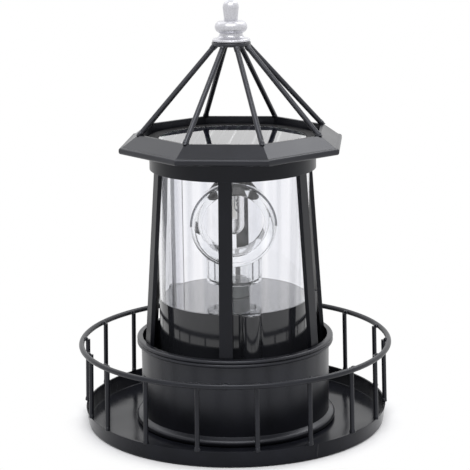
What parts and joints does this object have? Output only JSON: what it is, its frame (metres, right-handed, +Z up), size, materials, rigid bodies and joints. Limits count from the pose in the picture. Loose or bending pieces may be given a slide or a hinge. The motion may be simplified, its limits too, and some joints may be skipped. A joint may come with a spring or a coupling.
{
  "type": "solar garden lantern",
  "caption": "Lighthouse-style solar lantern: railed tray, cup, posts round a clear tube, octagonal eave with a solar panel, rod-cage roof and a clear beacon lens turned by a geared motor.",
  "frame": {"origin": "centre of the tray's underside, on the surface that the lantern stands on", "axes": "+Z up along the lantern's middle axis, -Y through the front post, +X to the right of the front"},
  "size_m": [0.165, 0.165, 0.2213],
  "materials": {
    "black_powder_coat": "satin powder coat on sheet steel and wire",
    "silver_plate": "satin silver",
    "black_gloss_plastic": "glossy moulded plastic",
    "black_matte_plastic": "matte moulded plastic",
    "clear_plastic": "clear polished plastic",
    "clear_glass": "clear",
    "solar_silicon": "dark blue silicon",
    "panel_laminate": "coated glass fibre laminate",
    "white_ceramic_strip": "white strip",
    "led_phosphor": "yellow phosphor",
    "white_nylon": "natural nylon",
    "grey_plastic": "moulded plastic",
    "zinc_steel": "zinc plated",
    "battery_sleeve": "plain shrink sleeve"
  },
  "bodies": {
    "lantern": {"tray": "black_powder_coat", "cup": "black_powder_coat", "railing_hoop": "black_powder_coat", "railing_balusters": "black_powder_coat", "lantern_posts": "black_powder_coat", "collar": "black_powder_coat", "eave": "black_powder_coat", "eave_shelf": "black_powder_coat", "roof_rods": "black_powder_coat", "roof_hub": "black_powder_coat", "finial": "silver_plate", "drum_shell": "black_gloss_plastic", "panel_dish": "black_matte_plastic", "lamp_holder": "black_matte_plastic", "drum_base": "black_matte_plastic", "battery_holder": "black_matte_plastic", "switch_body": "black_matte_plastic", "glazing_tube": "clear_plastic", "panel_cover": "clear_plastic", "led_capsule": "clear_glass", "solar_cells": "solar_silicon", "panel_board": "panel_laminate", "circuit_board": "panel_laminate", "led_stem": "white_ceramic_strip", "led_die": "led_phosphor", "drive_plate": "grey_plastic", "holder_screws": "zinc_steel", "drum_screws": "zinc_steel", "plate_screws": "zinc_steel", "motor_screws": "zinc_steel", "gear_motor": "zinc_steel", "battery_contacts": "zinc_steel", "battery_cell": "battery_sleeve"},
    "lens_carriage": {"turntable": "black_matte_plastic", "drive_gear": "white_nylon", "lens_column": "clear_plastic", "lens_barrel": "clear_plastic"},
    "pinion": {"motor_shaft": "zinc_steel", "motor_pinion": "white_nylon"},
    "switch": {"switch_slider": "black_matte_plastic"}
  },
  "joints": [
    {"name": "lens_spin", "type": "hinge", "parent": "lantern", "child": "lens_carriage", "pos_m": [0, 0, 0.067], "axis": [0, 0, 1], "continuous": true},
    {"name": "pinion_spin", "type": "hinge", "parent": "lantern", "child": "pinion", "pos_m": [0.0256, 0, 0.0596], "axis": [0, 0, 1], "continuous": true},
    {"name": "switch_slide", "type": "slide", "parent": "lantern", "child": "switch", "axis": [1, 0, 0], "range_m": [0, 0.0025]}
  ],
  "couplings": [
    {"joint": "pinion_spin", "follows": "lens_spin", "ratio": -3}
  ]
}
